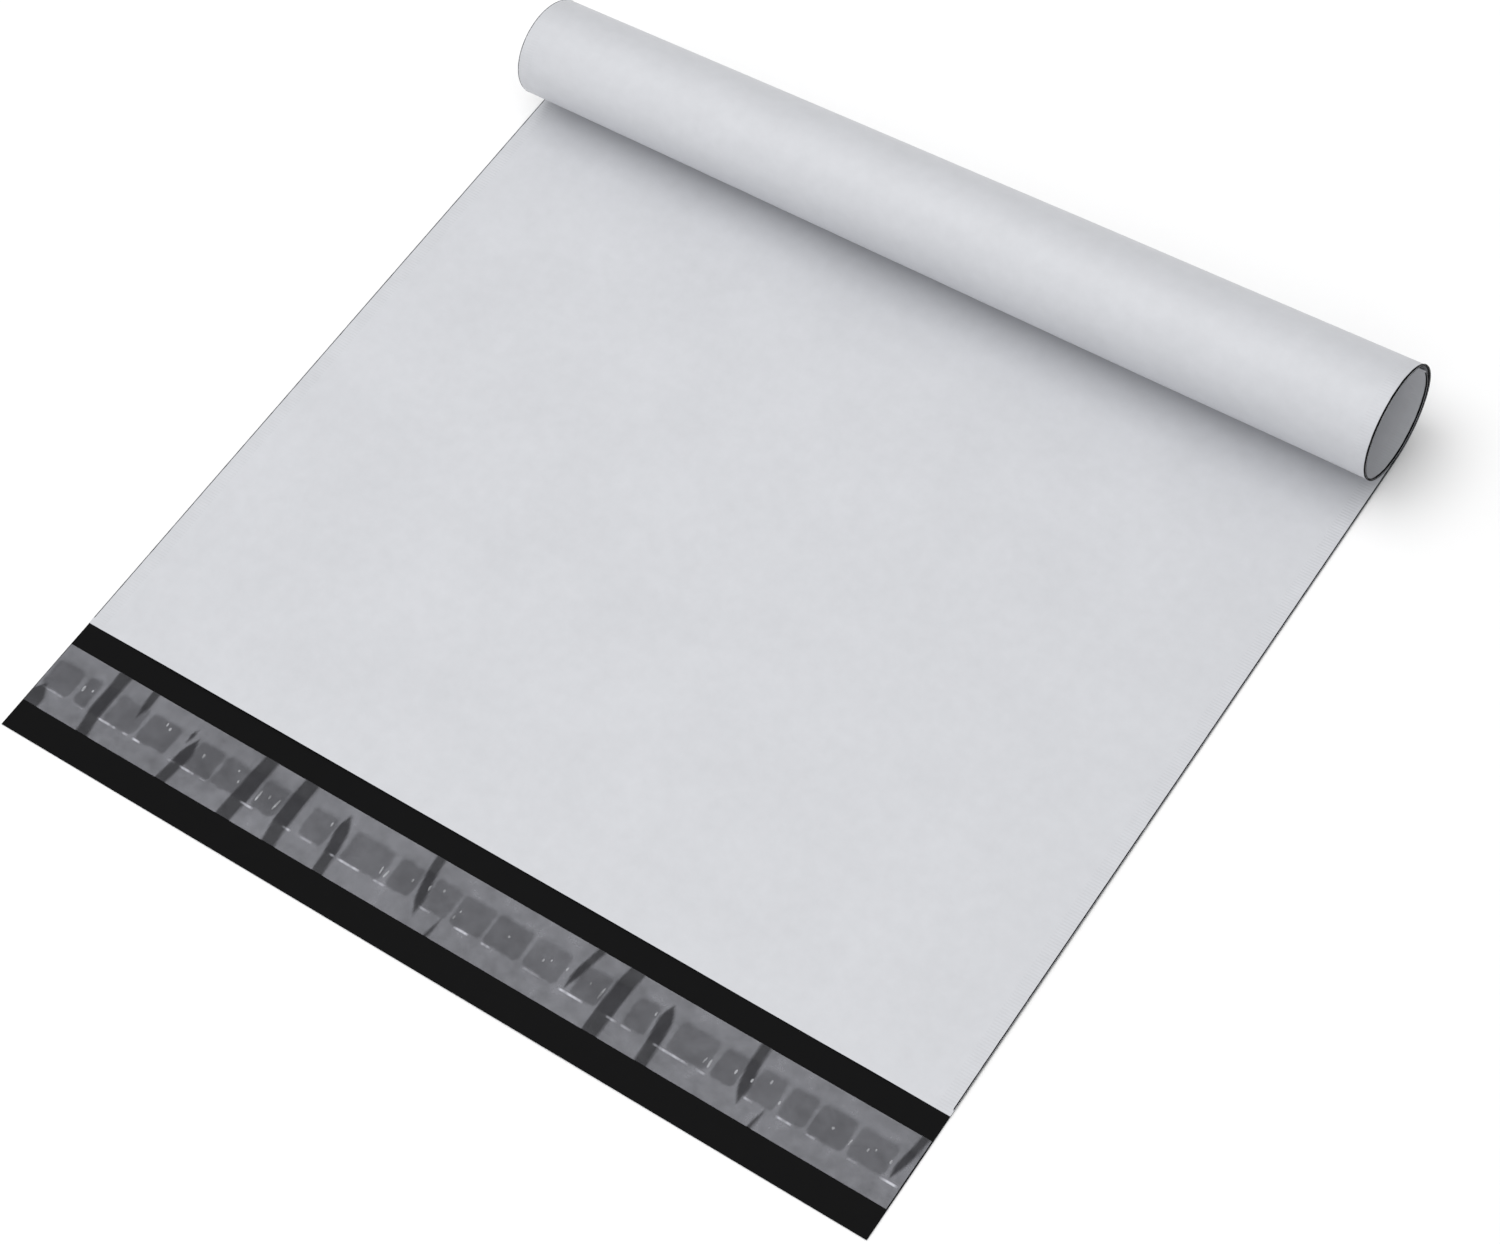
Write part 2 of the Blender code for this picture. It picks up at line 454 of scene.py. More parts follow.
def folded(distance):
    """How far along the bag and how high a point of the web lies once it is folded across the bottom."""
    if distance <= FOLD_AT:
        return distance, 0.0
    past = distance - FOLD_AT
    if past <= math.pi * FOLD_RADIUS:
        turn = past / FOLD_RADIUS
        return FOLD_AT + FOLD_RADIUS * math.sin(turn), FOLD_RADIUS * (1 - math.cos(turn))
    return FOLD_AT - (past - math.pi * FOLD_RADIUS), FOLDED


def curled(x, along, height):
    """Where a point of the flat bag lies once its closed end is rolled over."""
    start = across(x, ROLL_START)
    if along <= start:
        return Vector((x, FLAP_TIP_Y + along, height))
    first_radius = across(x, ROLL_RADIUS)
    angle = (first_radius - math.sqrt(first_radius ** 2 - 2 * SPIRAL_RATE * (along - start))) / SPIRAL_RATE
    radius = first_radius - SPIRAL_RATE * angle
    z = ROLL_FLATTEN * (first_radius - radius * math.cos(angle))
    y = start + ROLL_WIDEN * radius * math.sin(angle) - ROLL_LEAN * z
    run_z = ROLL_FLATTEN * (radius * math.sin(angle) + SPIRAL_RATE * math.cos(angle))
    run_y = ROLL_WIDEN * (radius * math.cos(angle) - SPIRAL_RATE * math.sin(angle)) - ROLL_LEAN * run_z
    inward = Vector((0, -run_z, run_y)).normalized()
    return Vector((x, FLAP_TIP_Y + y, z)) + inward * height


print(f"web {WEB_LENGTH:.3f} m long, {BACK_LENGTH - FIRST_ROLL:.3f} m of the bag in the roll")

# %% [markdown]
# Even a bag that lies flat isn't a plane. The back panel follows the table with a hair of lift here and
# there, and the front panel lies on it with a little air between, except where the sides are welded. These
# functions give that lift. They use smooth noise, which is the same on every run.

# %% How unevenly the panels lie
BACK_LIFT = 0.00025
FRONT_AIR = 0.0007
AIR_IN_ROLL = 0.15           # share of the air that is left between the panels once they are wound
AIR_FROM_WELD = 0.03         # distances over which the air fades towards a weld and towards the roll
AIR_FROM_ROLL = 0.04
WELD_CLOSES = 0.85           # share of the pocket that the weld presses shut

# Each wave: its rate across the bag and along it, per metre, and where in the noise it is read.
BACK_WAVE = (9, 7, 3.1)
AIR_WAVE = (11, 8, 0.4)
AIR_RIPPLE = (31, 22, 7.7)


def ease(value):
    value = min(max(value, 0.0), 1.0)
    return value * value * (3 - 2 * value)


def wave_at(x, along, wave):
    return noise.noise(Vector((x * wave[0], along * wave[1], wave[2])))


def back_lift(x, along):
    return BACK_LIFT * ease(0.5 + wave_at(x, along, BACK_WAVE))


def front_lift(x, along):
    """Air between the panels: none at the welds, little in the roll, most on the flat part."""
    air = 0.5 + 0.5 * wave_at(x, along, AIR_WAVE) + 0.25 * wave_at(x, along, AIR_RIPPLE)
    free = ease((HALF_WIDTH - SIDE_WELD - abs(x)) / AIR_FROM_WELD)
    flat = AIR_IN_ROLL + (1 - AIR_IN_ROLL) * ease((across(x, ROLL_START) - along) / AIR_FROM_ROLL)
    return FRONT_AIR * max(air, 0.0) * free * flat


def film_height(x, along, height):
    """Height of the film's outer face above the table in the flat bag."""
    share = height / FOLDED
    welded = ease((abs(x) - (HALF_WIDTH - SIDE_WELD)) / MM + 0.5)
    pressed = share * welded * POCKET * WELD_CLOSES
    return back_lift(x, along) + height - pressed + share * front_lift(x, along)


middle_height = film_height(0, PANEL_LENGTH / 2, FOLDED)
print(f"front panel {middle_height / MM:.2f} mm above the table in the middle")

# %% [markdown]
# ## The bag's film
# `create_grid` makes the web, with more rows where it will be wound and at the fold. Each point is then
# folded, given its lift and rolled. Solidify turns the surface into film of real thickness: the new inner
# face takes the black finish, and the rim takes the cut edge's.

# %% Helpers for thin pieces
def grid_mesh(columns, rows):
    """A grid whose X and Y run from 0 to 1, ready to be placed by a function."""
    bm = bmesh.new()
    bmesh.ops.create_grid(bm, x_segments=columns, y_segments=rows, size=0.5)
    low = min(v.co.x for v in bm.verts)
    high = max(v.co.x for v in bm.verts)
    for vertex in bm.verts:
        vertex.co.x = (vertex.co.x - low) / (high - low)
        vertex.co.y = (vertex.co.y - low) / (high - low)
    return bm


def lay_map(bm, place_on_web):
    """Write each corner's place on the flat film, in metres, into the piece's map."""
    web_map = bm.loops.layers.uv.new(WEB_MAP)
    for face in bm.faces:
        for loop in face.loops:
            loop[web_map].uv = place_on_web(loop.vert.co)


def finish_piece(item, sharp_angle=50.0):
    """Apply the modifiers, shade the faces smooth and keep the real corners sharp."""
    evaluated = item.evaluated_get(bpy.context.evaluated_depsgraph_get())
    mesh = bpy.data.meshes.new_from_object(evaluated)
    item.modifiers.clear()
    item.data = mesh
    mesh.shade_smooth()
    mesh.set_sharp_from_angle(angle=math.radians(sharp_angle))
    mesh.calc_loop_triangles()
    print(f"{item.name}: {len(mesh.loop_triangles)} triangles")
    return item


# %% Bag film
# The web's rows: wide steps where the bag is flat, and fine ones in the roll and at the fold.
FILM_COLUMNS = 76
ROW_STOPS = (0.0, FIRST_ROLL, FOLD_AT, FOLD_AT + math.pi * FOLD_RADIUS,
             WEB_LENGTH - (FIRST_ROLL - FLAP_LENGTH), WEB_LENGTH)
ROW_STEPS = (100, 105, 6, 105, 86)
row_shares = np.concatenate(([0], np.cumsum(ROW_STEPS))) / sum(ROW_STEPS)


def web_place(spot):
    """Place on the flat web, across it and along it, of a point of the grid."""
    return (spot.x - 0.5) * BAG_WIDTH, float(np.interp(spot.y, row_shares, ROW_STOPS))


def make_film():
    bm = grid_mesh(FILM_COLUMNS, sum(ROW_STEPS))
    lay_map(bm, web_place)
    for vertex in bm.verts:
        x, distance = web_place(vertex.co)
        along, height = folded(distance)
        vertex.co = curled(x, along, film_height(x, along, height))
    flap_tip = Vector((0, FLAP_TIP_Y, 0))
    at_tip = min(bm.faces, key=lambda face: (face.calc_center_median() - flap_tip).length)
    at_tip.normal_update()
    if at_tip.normal.z > 0:
        bmesh.ops.reverse_faces(bm, faces=bm.faces)
    item = object_from(bm, "mailer_film", pieces)
    for material in (outside, inside, edge):
        item.data.materials.append(material)
    wall = item.modifiers.new("wall", "SOLIDIFY")
    wall.thickness = WALL
    wall.offset = -1
    wall.material_offset = 1
    wall.material_offset_rim = 2
    return finish_piece(item)


film_piece = make_film()
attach(film_piece, "root")
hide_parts("bag_film")

# %% [markdown]
# ## The melted edge
# The welding bar also cuts the bags apart, and its heat draws the cut edge up into a thin bead that shows
# the black core. It is a long thin tube from the mouth to the bottom fold on each side: a grid whose
# columns go round and whose rows follow the film through the roll. The left weld was pressed flatter than
# the right one.

# %% Weld beads
# Each bead's radius beside the flat part and in the roll.
LEFT_BEAD = (0.00030, 0.00028)
RIGHT_BEAD = (0.00034, 0.0005)
BEAD_SIDES = 8
BEAD_ROWS = 240
BEAD_STOPS = (FLAP_LENGTH, FIRST_ROLL, BACK_LENGTH)
BEAD_SHARES = (0.0, 0.4, 1.0)
BEAD_TAPER = 0.0006
BEAD_CHANGE = 0.02           # length over which its radius changes where the roll starts
BEAD_LUMPS = 260             # rate of its unevenness, per metre
BEAD_UNEVEN = 0.1
BEAD_POINT = 0.05            # share of its radius that is left at its very ends
BEAD_DROP = 0.08             # how far below the weld's middle it lies, as a share of the pocket
BEAD_LOWEST = 0.00002
SAME_POINT = 1e-7


def bead_distance(share):
    return float(np.interp(share, BEAD_SHARES, BEAD_STOPS))


def bead_radius(side, along):
    flat_radius, rolled_radius = LEFT_BEAD if side < 0 else RIGHT_BEAD
    rolled = ease((along - FIRST_ROLL) / BEAD_CHANGE)
    radius = flat_radius + rolled * (rolled_radius - flat_radius)
    uneven = 1 - BEAD_UNEVEN + BEAD_UNEVEN * noise.noise(Vector((along * BEAD_LUMPS, side, 0)))
    to_end = min(along - FLAP_LENGTH, BACK_LENGTH - along)
    return radius * (uneven * min(1.0, BEAD_POINT + to_end / BEAD_TAPER))


def make_bead(side, name):
    edge_x = side * HALF_WIDTH
    bm = grid_mesh(BEAD_SIDES, BEAD_ROWS)
    lay_map(bm, lambda spot: (edge_x, bead_distance(spot.y)))
    for vertex in bm.verts:
        turn = 2 * math.pi * vertex.co.x
        along = bead_distance(vertex.co.y)
        radius = bead_radius(side, along)
        weld_middle = film_height(edge_x, along, FOLDED) - (WALL + POCKET * BEAD_DROP)
        height = max(weld_middle + radius * math.sin(turn), BEAD_LOWEST)
        point = curled(edge_x, along, height)
        point.x = edge_x - side * radius + radius * math.cos(turn)
        vertex.co = point
    bmesh.ops.remove_doubles(bm, verts=bm.verts, dist=SAME_POINT)
    bmesh.ops.holes_fill(bm, edges=[e for e in bm.edges if e.is_boundary])
    bmesh.ops.recalc_face_normals(bm, faces=bm.faces)
    item = object_from(bm, name, pieces)
    item.data.materials.append(edge)
    return finish_piece(item)


beads = (make_bead(-1, "left_weld_bead"), make_bead(1, "right_weld_bead"))
for bead in beads:
    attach(bead, "root")
    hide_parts("bag_film")

# %% [markdown]
# ## The glue and its liner
# Hot-melt glue is laid on the flap in a band, and a silicone-coated film is pressed over it. Where the
# glue has wetted the liner, it shows as darker pads with round corners, parted by thin lines of trapped
# air. The liner is thin and was wound tight, so it has cross pleats, and there it stands off and looks
# darker still. No rule gives where the pads and pleats of one strip fall, so they are short tables, in
# millimetres. Masks over the strip are worked out from them, and both the shape and the finish read them.

# %% Where the strip lies
GLUE_CENTRE = 0.0262
GLUE_WIDTH = 0.012
LINER_START = 0.0119
LINER_WIDTH = 0.0268
STRIP_REACH = HALF_WIDTH - 0.0004
print(f"liner {LINER_WIDTH / MM:.1f} mm wide, glue {GLUE_WIDTH / MM:.1f} mm wide")

# %% Where the pads, pleats and painted glints are
# Start and end of each pad along the strip, from the bag's middle.
PADS = (
    (-182.6, -170.4), (-168.0, -162.2), (-153.2, -139.8), (-138.4, -124.8), (-115.8, -104.8),
    (-103.4, -93.4), (-85.6, -75.4), (-64.2, -53.6), (-45.4, -28.6), (-25.6, -15.6), (-10.0, 0.4),
    (2.0, 14.8), (16.2, 30.6), (32.6, 46.6), (52.8, 63.4), (74.2, 82.8), (91.6, 107.0), (109.4, 118.4),
    (123.8, 133.8), (135.8, 145.8), (147.4, 160.8), (162.4, 176.4),
)
# Each pleat: its place at the tip side and at the mouth side, how far it bows, its width, and the share of
# the liner's width that it spans, from 0 at the tip side to 1 at the mouth side. One that stops short runs
# to a point.
PLEATS = (
    (-181.2, -180.0, 0.0, 8.4, 0.00, 0.36), (-156.2, -157.2, -0.7, 5.6, 0.00, 1.00),
    (-143.2, -142.9, 0.0, 3.3, 0.55, 1.00), (-122.4, -119.6, 0.0, 2.6, 0.60, 0.88),
    (-119.2, -117.2, 0.4, 5.0, 0.00, 0.74), (-90.7, -89.2, -0.2, 6.3, 0.00, 1.00),
    (-70.4, -71.4, -0.6, 6.4, 0.00, 1.00), (-48.2, -52.2, 0.3, 5.0, 0.00, 0.90),
    (-8.6, -14.5, -0.7, 4.2, 0.14, 1.00), (-1.6, 2.2, 0.0, 1.6, 0.00, 0.32),
    (49.6, 53.4, -0.5, 3.0, 0.33, 1.00), (67.1, 68.2, -0.4, 6.4, 0.00, 1.00),
    (87.9, 85.2, 0.2, 5.0, 0.00, 0.88), (123.9, 120.0, -0.9, 4.2, 0.16, 1.00),
    (131.0, 134.4, 0.0, 1.6, 0.00, 0.34), (177.6, 182.0, -0.4, 3.0, 0.32, 1.00),
)
# Start, end and strength of each painted glint: a painted highlight on the step where the liner comes down
# off the glue.
PAINTED_GLINTS = (
    (-181, -172, 0.3), (-165, -162, 0.4), (-154.6, -147, 0.9), (-143.4, -141.4, 0.6),
    (-138.6, -135.2, 1.0), (-122, -119.4, 0.4), (-116.4, -110.6, 0.8), (-109, -105, 0.3),
    (-88.8, -84, 0.8), (-69.6, -67, 1.0), (-62, -57.4, 0.45), (-48.8, -47, 0.8), (-45.4, -36.4, 0.9),
    (-29.6, -25.6, 0.7), (-9.8, -5.8, 0.5), (5.2, 10.6, 1.0), (16.8, 19.6, 0.9), (34, 41, 0.25),
    (49.2, 58.2, 1.0), (68.6, 71.8, 1.0), (74.4, 78.2, 0.4), (87.8, 101.2, 0.8), (105, 107.8, 0.7),
    (123.6, 126.6, 0.6), (136.8, 141.8, 0.9), (148, 150.8, 0.6), (164, 167, 0.3), (176.6, 182.2, 1.0),
)
print(len(PADS), "pads,", len(PLEATS), "pleats,", len(PAINTED_GLINTS), "glints")


# %% [markdown]
# A mask is 1 inside its shape and falls smoothly to 0 over about a millimetre at its border. Pads are
# rectangles with round corners, so their mask comes from the distance to such a rectangle. A pleat is a
# band about a slanted, slightly bowed line.

# %% Glue and pad masks
GLUE_BLUR = 1.6 * MM
GLUE_SPREAD = 0.4 * MM
PAD_CORNER = 1.8 * MM
PAD_BLUR = 1.0 * MM
PAD_SPREAD = 0.0002
PAD_RAGGED = 0.5 * MM
PAD_WAVE = (300, 300, 1.7)
PAD_UNEVEN = 0.08            # how much the pads differ in strength, and how fast from one to the next
PAD_UNEVEN_RATE = 2.3
MASK_REACH = 3 * MM          # past this a pad no longer counts


def fall(distance, soft):
    return 1.0 - ease(distance / soft + 0.5)


def over_glue(along):
    """1 above the glue band, falling to 0 at the liner's free margins."""
    return fall(abs(along - GLUE_CENTRE) - GLUE_WIDTH / 2 - GLUE_SPREAD, GLUE_BLUR)


def pad_mask(x, along):
    """How far the glue has wetted the liner at a point of the strip."""
    ragged = PAD_RAGGED * wave_at(x, along, PAD_WAVE)
    soft = PAD_BLUR + PAD_BLUR * ease((along - GLUE_CENTRE) / (GLUE_WIDTH / 2))
    best = 0.0
    for number, (start, end) in enumerate(PADS):
        middle = (start + end) / 2 * MM
        half = (end - start) / 2 * MM + PAD_SPREAD
        if abs(x - middle) > half + MASK_REACH:
            continue
        away_x = abs(x - middle) - half + PAD_CORNER
        away_y = abs(along - GLUE_CENTRE) - GLUE_WIDTH / 2 + PAD_CORNER
        distance = math.hypot(max(away_x, 0), max(away_y, 0)) + min(max(away_x, away_y), 0)
        strength = 1 - PAD_UNEVEN + PAD_UNEVEN * math.sin(number * PAD_UNEVEN_RATE)
        best = max(best, fall(distance - PAD_CORNER + ragged, soft) * strength)
    return best


# %% Pleat and painted glint masks
PLEAT_BLUR = 1.0 * MM
PLEAT_WANDER = 0.4 * MM
PLEAT_WANDER_WAVE = (1, 110, 5.0)
PLEAT_UNEVEN = 0.12
PLEAT_UNEVEN_WAVE = (1, 90, 8.0)
PLEAT_POINT = 0.3            # share of the liner's width over which a pleat runs to its point
PLEAT_POINT_POWER = 0.6
PLEAT_WEAKER_ON_GLUE = 0.14
PLEAT_WETS = 1.15
PAINTED_GLINT_BLUR = 1.4 * MM


def pleat_mask(x, along):
    """How much a point of the liner belongs to a pleat."""
    share = (along - LINER_START) / LINER_WIDTH
    best = 0.0
    for at_tip, highlight_at_mouth, bow, width, low, high in PLEATS:
        centre = (at_tip + share * (highlight_at_mouth - at_tip) + 4 * bow * share * (1 - share)) * MM
        past_low = share - low if low > 0 else 1.0
        to_high = high - share if high < 1 else 1.0
        inside_span = min(past_low, to_high)
        if abs(x - centre) > width * MM or inside_span <= 0:
            continue
        centre += PLEAT_WANDER * wave_at(at_tip, along, PLEAT_WANDER_WAVE)
        uneven = 1.0 + PLEAT_UNEVEN * wave_at(at_tip, along, PLEAT_UNEVEN_WAVE)
        half = uneven * width * MM / 2 * ease(inside_span / PLEAT_POINT) ** PLEAT_POINT_POWER
        strength = 1.0 - PLEAT_WEAKER_ON_GLUE * over_glue(along)
        best = max(best, fall(abs(x - centre) - half, PLEAT_BLUR) * strength)
    return best


def wetted_mask(x, along):
    """The pads, and the pleats that lie across the glue."""
    return max(pad_mask(x, along), PLEAT_WETS * pleat_mask(x, along) * over_glue(along))


def glint_mask(x, along):
    """How strong the painted highlight on the step off the glue is at a place along the strip."""
    best = 0.0
    for start, end, strength in PAINTED_GLINTS:
        past_end = abs(x - (start + end) / 2 * MM) - (end - start) / 2 * MM
        best = max(best, strength * fall(past_end, PAINTED_GLINT_BLUR))
    return best


print(f"pad mask {pad_mask(0.022, GLUE_CENTRE):.2f} on a pad and {pad_mask(0.0, 0.0):.2f} off the glue")

# %% [markdown]
# The liner is a fine grid, so that pads, pleats and the step at the glue's edge are real shape. The masks
# are kept on it as attributes for the finish. The glue band below it is a coarser grid that swells at each
# pad.

# %% Liner and glue
GLUE_RISE = 0.00014
GLUE_CROWN = 0.8 * MM        # width of the glue band's rounded edge
GLUE_THIN = 0.55             # shares of its rise between the pads and gained on them
GLUE_SWELL = 0.45
GLUE_SEAT = 0.00001
GLUE_SKIN = 0.00001
LINER_WALL = 0.00005
LINER_SEAT = 0.00005
LINER_OVER_GLUE = 0.00004
LINER_RIPPLE = 0.00003
FREE_EDGE = 3 * MM           # width of the liner's free margins, which lift a little
EDGE_RISE = 0.00008
PLEAT_RISE = 0.00030
RIPPLE_WAVE = (160, 90, 9.2)
LINER_GRID = (560, 42)       # columns and rows
GLUE_GRID = (420, 14)


def strip_piece(name, start, width, grid, height_at, wall, masks):
    """A thin band on the flap: a grid placed by a height function, with its masks kept as attributes."""
    bm = grid_mesh(*grid)
    layers = {mask: bm.verts.layers.float.new(mask) for mask in masks}
    for vertex in bm.verts:
        x = (2 * vertex.co.x - 1) * STRIP_REACH
        along = start + vertex.co.y * width
        for mask, value_at in masks.items():
            vertex[layers[mask]] = value_at(x, along)
        vertex.co = (x, FLAP_TIP_Y + along, back_lift(x, along) + WALL + height_at(x, along))
    lay_map(bm, lambda spot: (spot.x, spot.y - FLAP_TIP_Y))
    bmesh.ops.recalc_face_normals(bm, faces=bm.faces)
    if next(iter(bm.faces)).normal.z < 0:
        bmesh.ops.reverse_faces(bm, faces=bm.faces)
    item = object_from(bm, name, pieces)
    solid = item.modifiers.new("wall", "SOLIDIFY")
    solid.thickness = wall
    solid.offset = 1
    return finish_piece(item)


def liner_height(x, along):
    ripple = 0.5 + 0.5 * wave_at(x, along, RIPPLE_WAVE)
    from_edge = min(along - LINER_START, LINER_START + LINER_WIDTH - along)
    free_edge = ease(1 - from_edge / FREE_EDGE)
    lifted = PLEAT_RISE * pleat_mask(x, along) + EDGE_RISE * free_edge * ripple
    on_glue = (GLUE_RISE + LINER_OVER_GLUE) * over_glue(along)
    return LINER_SEAT + on_glue + LINER_RIPPLE * ripple + lifted


def glue_height(x, along):
    from_edge = GLUE_WIDTH / 2 - abs(along - GLUE_CENTRE)
    share = GLUE_THIN + GLUE_SWELL * pad_mask(x, along)
    return GLUE_SEAT + GLUE_RISE * ease(from_edge / GLUE_CROWN) * share


# The liner keeps, as an attribute, where the painted highlight along the step goes.
liner = strip_piece("peel_off_liner", LINER_START, LINER_WIDTH, LINER_GRID, liner_height, LINER_WALL,
                    {"wetted": wetted_mask, "pleat": pleat_mask, "glint": glint_mask})
glue = strip_piece("glue_band", GLUE_CENTRE - GLUE_WIDTH / 2, GLUE_WIDTH, GLUE_GRID, glue_height, GLUE_SKIN,
                   {"wetted": pad_mask})

# %% [markdown]
# Small blisters of air stay between the liner and the glue. Each is a squashed dome, longer across the
# strip than along it, and catches the light. They are so few that each is given by its place and its size.

# %% Air blisters
# Place along the strip, place from the flap's tip, width and length, in millimetres.
BLISTERS = (
    (-167.4, 26.6, 1.1, 2.6), (-163.8, 27.4, 0.7, 1.2), (-129.2, 29.6, 1.0, 1.5), (-131.2, 30.6, 0.6, 1.6),
    (-111.8, 27.4, 0.9, 2.0), (-97.0, 29.2, 0.9, 1.1), (-94.6, 25.6, 0.8, 1.3), (-84.8, 25.0, 0.9, 4.6),
    (-81.0, 26.5, 0.8, 1.8), (-77.2, 25.4, 0.9, 5.0), (-55.4, 29.4, 0.7, 2.0), (-29.6, 24.2, 0.6, 3.2),
    (-27.3, 23.8, 0.9, 3.4), (-17.8, 26.6, 0.8, 1.6), (-10.9, 27.2, 0.8, 2.2), (-6.0, 29.0, 0.9, 1.3),
    (2.8, 22.8, 0.7, 1.6), (3.6, 25.6, 0.6, 1.1), (23.4, 26.6, 0.9, 1.0), (38.5, 25.5, 0.8, 1.3),
    (41.0, 26.9, 0.6, 1.0), (47.4, 27.0, 0.8, 1.6), (62.3, 25.8, 0.9, 4.8), (57.2, 26.8, 0.6, 1.2),
    (82.2, 29.2, 0.7, 1.7), (107.4, 23.8, 0.9, 3.4), (105.4, 24.0, 0.6, 2.6), (116.4, 25.9, 0.8, 1.8),
    (122.7, 26.0, 0.8, 1.6), (128.4, 28.9, 0.8, 1.8), (134.6, 24.2, 0.8, 1.6), (154.2, 26.0, 1.0, 1.2),
    (161.6, 24.8, 0.6, 2.6), (167.9, 25.6, 0.7, 1.4), (170.2, 26.9, 0.7, 0.9), (176.4, 26.0, 0.9, 1.6),
)
BLISTER_RISE = 0.00012
BLISTER_SINK = 0.00002       # how far its middle lies below the liner's upper face
BLISTER_LEAN = 0.12
BLISTER_GRID = (12, 8)       # segments round it and from pole to pole


def make_blisters():
    bm = bmesh.new()
    for x, along, width, length in BLISTERS:
        dome = bmesh.ops.create_uvsphere(bm, u_segments=BLISTER_GRID[0], v_segments=BLISTER_GRID[1],
                                         radius=1.0)["verts"]
        bmesh.ops.scale(bm, vec=(width * MM / 2, length * MM / 2, BLISTER_RISE), verts=dome)
        lean = Matrix.Rotation(BLISTER_LEAN * math.sin(x), 3, "Z")
        bmesh.ops.rotate(bm, cent=(0, 0, 0), matrix=lean, verts=dome)
        ground = back_lift(x * MM, along * MM) + WALL + liner_height(x * MM, along * MM) + LINER_WALL
        bmesh.ops.translate(bm, vec=(x * MM, FLAP_TIP_Y + along * MM, ground - BLISTER_SINK), verts=dome)
    lay_map(bm, lambda spot: (spot.x, spot.y - FLAP_TIP_Y))
    return finish_piece(object_from(bm, "air_blisters", pieces))


blisters = make_blisters()

# %% [markdown]
# The liner's finish is a thin hazy film: partly see-through, with a soft gloss. Its haze is what makes it
# grey over the black flap. Where glue has wetted it there is less haze, and in a pleat least of all, so
# there the black shows through. A painted highlight lies along the step at the band's edge, in short broken
# lines.

# %% Liner finish
LINER_GREY = (0.262, 0.265, 0.289)
HAZE = 0.534
HAZE_LOST_TO_GLUE = 0.29
HAZE_LOST_IN_PLEAT = 0.81
HAZE_LEFT = (-0.16, 0.86)        # a place across the bag, and the share of the haze there
HAZE_MIDDLE = (0.0, 0.97)
PAINTED_HIGHLIGHT_OUT = 0.0004                # how far outside the glue's edge the painted highlight lies
PAINTED_HIGHLIGHT_WIDTH = (0.00015, 0.0006)
PAINTED_HIGHLIGHT_BREAKS = (420.0, 40.0, 1.0)
BREAK_RANGE = (0.35, 0.6)
BREAK_STRENGTHS = (0.35, 1.0)
# How much the painted highlight adds to the liner's tone and to how much of it is seen.
PAINTED_HIGHLIGHT_TONE = 1.1
PAINTED_HIGHLIGHT_HAZE = 0.4


def attribute(tree, name):
    return add_node(tree, "ShaderNodeAttribute", {"attribute_name": name}).outputs["Fac"]


def painted_step_highlight(tree, web):
    """A painted highlight: a thin broken line along the glue band's edge, as strong as the glint mask says.
    """
    step_edge = GLUE_CENTRE - GLUE_WIDTH / 2 - PAINTED_HIGHLIGHT_OUT
    off_step = math_node(tree, "ABSOLUTE", math_node(tree, "SUBTRACT", axes(tree, web)["Y"], step_edge))
    line = remap(tree, off_step, *PAINTED_HIGHLIGHT_WIDTH, 1.0, 0.0, True)
    breaks = add_node(tree, "ShaderNodeTexNoise", None, Vector=scaled(tree, web, PAINTED_HIGHLIGHT_BREAKS), Scale=1.0)
    broken = remap(tree, breaks.outputs[0], *BREAK_RANGE, *BREAK_STRENGTHS)
    return math_node(tree, "MULTIPLY", math_node(tree, "MULTIPLY", line, broken), attribute(tree, "glint"))


def liner_haze(tree, web):
    """How much of the liner is seen rather than seen through."""
    lost = math_node(tree, "MULTIPLY", attribute(tree, "wetted"), HAZE_LOST_TO_GLUE)
    # The liner is made darker towards the left side: less of its haze is seen there.
    side = remap(tree, axes(tree, web)["X"], HAZE_LEFT[0], HAZE_MIDDLE[0], HAZE_LEFT[1], HAZE_MIDDLE[1])
    haze = math_node(tree, "MULTIPLY", math_node(tree, "SUBTRACT", HAZE, lost), side)
    in_pleat = math_node(tree, "MULTIPLY", attribute(tree, "pleat"), HAZE_LOST_IN_PLEAT)
    return math_node(tree, "MULTIPLY", haze, math_node(tree, "SUBTRACT", 1.0, in_pleat))


def make_liner_finish():
    material, tree, shader = new_material("hazy_peel_liner")
    web = web_coordinates(tree)
    film = use_group(tree, film_group, Web=web, Clouds=0.8, Die_Lines=0.8, Specks=0.8, Gloss=0.34,
                     Gloss_Spread=0.2)
    # The painted highlight along the step is painted into the liner's tone and haze.
    painted_highlight = painted_step_highlight(tree, web)
    tone = math_node(tree, "ADD", film["Tone"], math_node(tree, "MULTIPLY", painted_highlight, PAINTED_HIGHLIGHT_TONE))
    seen = math_node(tree, "ADD", liner_haze(tree, web), math_node(tree, "MULTIPLY", painted_highlight, PAINTED_HIGHLIGHT_HAZE))
    tree.links.new(tinted(tree, LINER_GREY, tone), shader.inputs["Base Color"])
    tree.links.new(seen, shader.inputs["Alpha"])
    tree.links.new(film["Roughness"], shader.inputs["Roughness"])
    bumped(tree, shader, film["Height"])
    set_shader(shader, Specular_IOR_Level=0.1)
    return material


# %% [markdown]
# A blister is the same hazy film, whitened by the air under it. The glue is almost black from the film
# below it, with a faint swirl, and it is smoother where the liner lies tight on it.

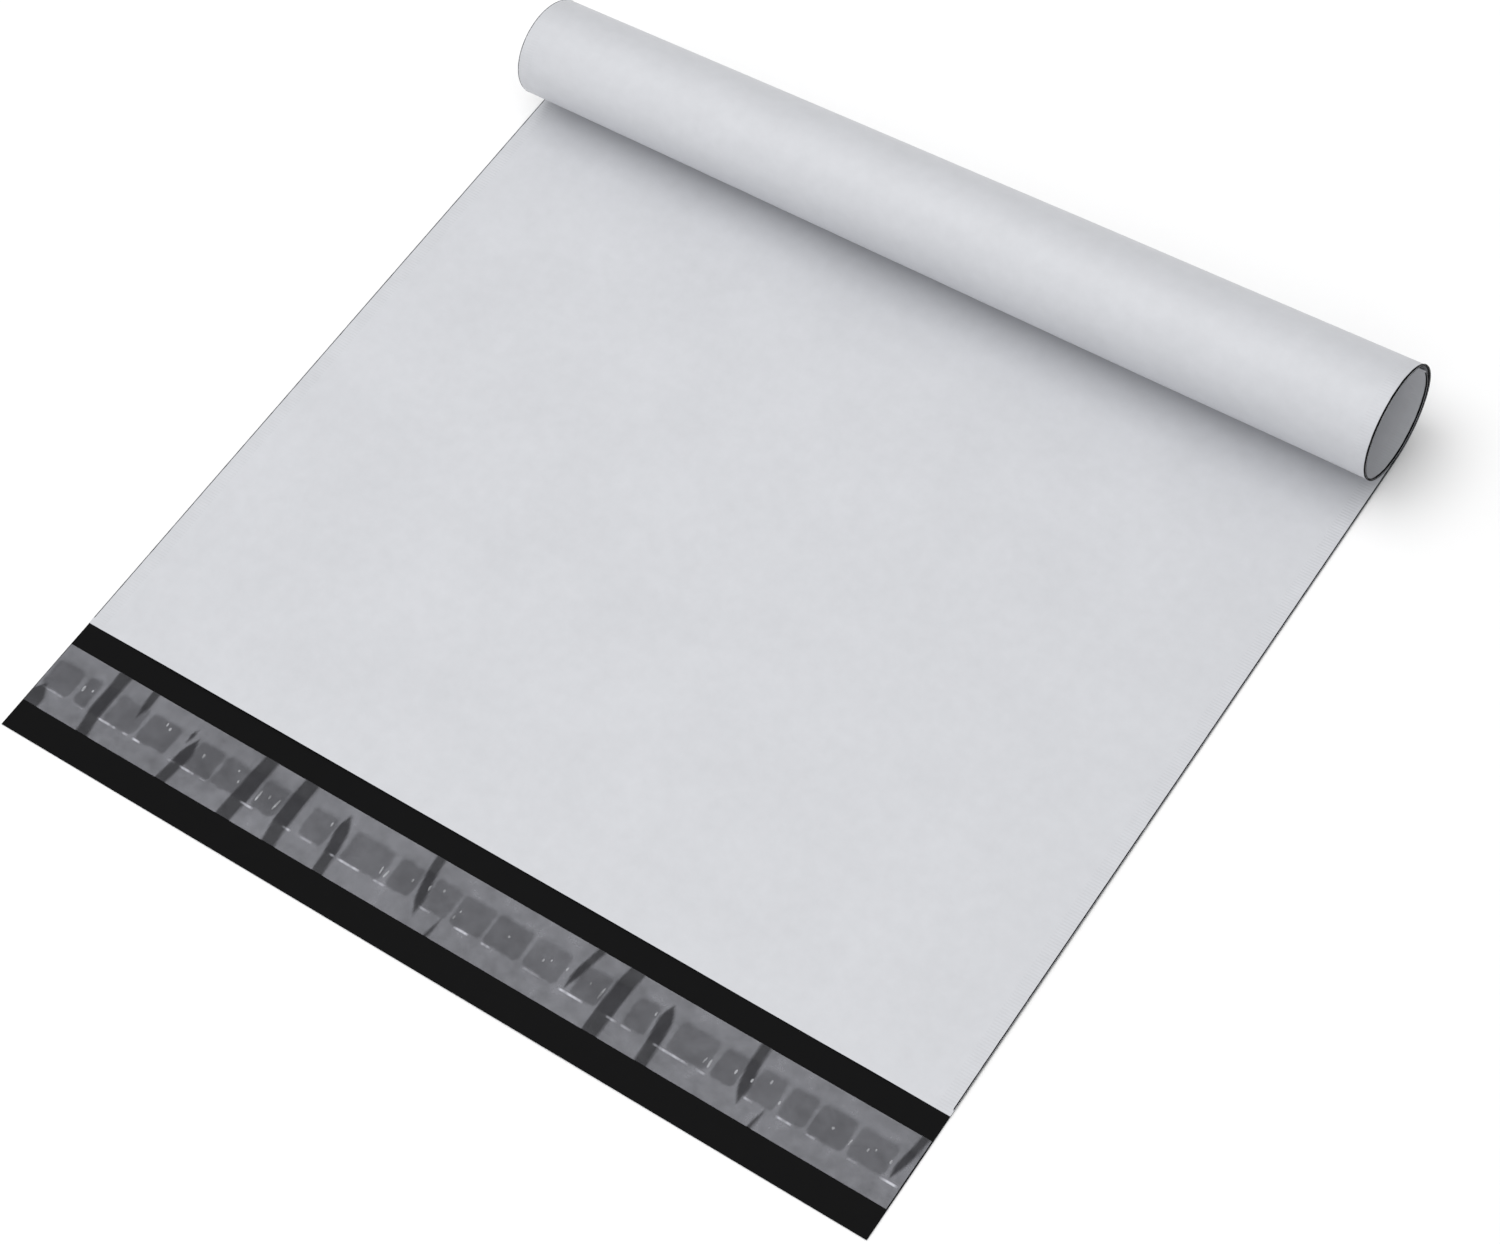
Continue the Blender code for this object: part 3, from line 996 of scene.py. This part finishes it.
# %% Blister and glue finishes
BLISTER_WHITE = (0.50, 0.51, 0.53)
GLUE_BLACK = (0.0062, 0.0059, 0.0074)
GLUE_BUMP = 0.00003
SWIRL_SCALE = 320.0
SWIRL_RANGE = (0.3, 0.7)
SWIRL_TONES = (0.75, 1.25)
GLUE_ROUGHNESS = (0.45, 0.2)     # between the pads and on them


def make_blister_finish():
    material, tree, shader = new_material("whitened_liner_blister")
    web = web_coordinates(tree)
    film = use_group(tree, film_group, Web=web, Clouds=2.5, Die_Lines=0.4, Specks=0.3, Gloss=0.25,
                     Gloss_Spread=0.2)
    tree.links.new(tinted(tree, BLISTER_WHITE, film["Tone"]), shader.inputs["Base Color"])
    tree.links.new(film["Roughness"], shader.inputs["Roughness"])
    bumped(tree, shader, film["Height"])
    set_shader(shader, Alpha=0.4, Specular_IOR_Level=0.4)
    return material


def make_glue_finish():
    material, tree, shader = new_material("hot_melt_glue")
    web = web_coordinates(tree)
    swirl = add_node(tree, "ShaderNodeTexNoise", None, Vector=web, Scale=SWIRL_SCALE, Detail=3.0).outputs[0]
    tone = remap(tree, swirl, *SWIRL_RANGE, *SWIRL_TONES)
    roughness = remap(tree, attribute(tree, "wetted"), 0.0, 1.0, *GLUE_ROUGHNESS)
    tree.links.new(tinted(tree, GLUE_BLACK, tone), shader.inputs["Base Color"])
    tree.links.new(roughness, shader.inputs["Roughness"])
    bumped(tree, shader, swirl, GLUE_BUMP)
    set_shader(shader, Specular_IOR_Level=0.03)
    return material


liner.data.materials.append(make_liner_finish())
glue.data.materials.append(make_glue_finish())
blisters.data.materials.append(make_blister_finish())
for piece, node, slot in ((liner, "release_liner", "peel_liner"), (blisters, "release_liner", "peel_liner"),
                          (glue, "adhesive_strip", "hot_melt_glue")):
    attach(piece, "root")
    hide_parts(node)
    print(piece.name, "stands for", node)

# %% [markdown]
# ## The sheets' cut sizes
# The film and the liner are sheets, and the size that each was cut to is printed here. The web was as
# wide as the bag and as long as both panels and the flap together, and the fold and the roll don't change
# that.

# %% Sheets
print(f"web cut to {BAG_WIDTH:.3f} x {WEB_LENGTH:.3f} m")
print(f"liner cut to {2 * STRIP_REACH:.4f} x {LINER_WIDTH:.4f} m")
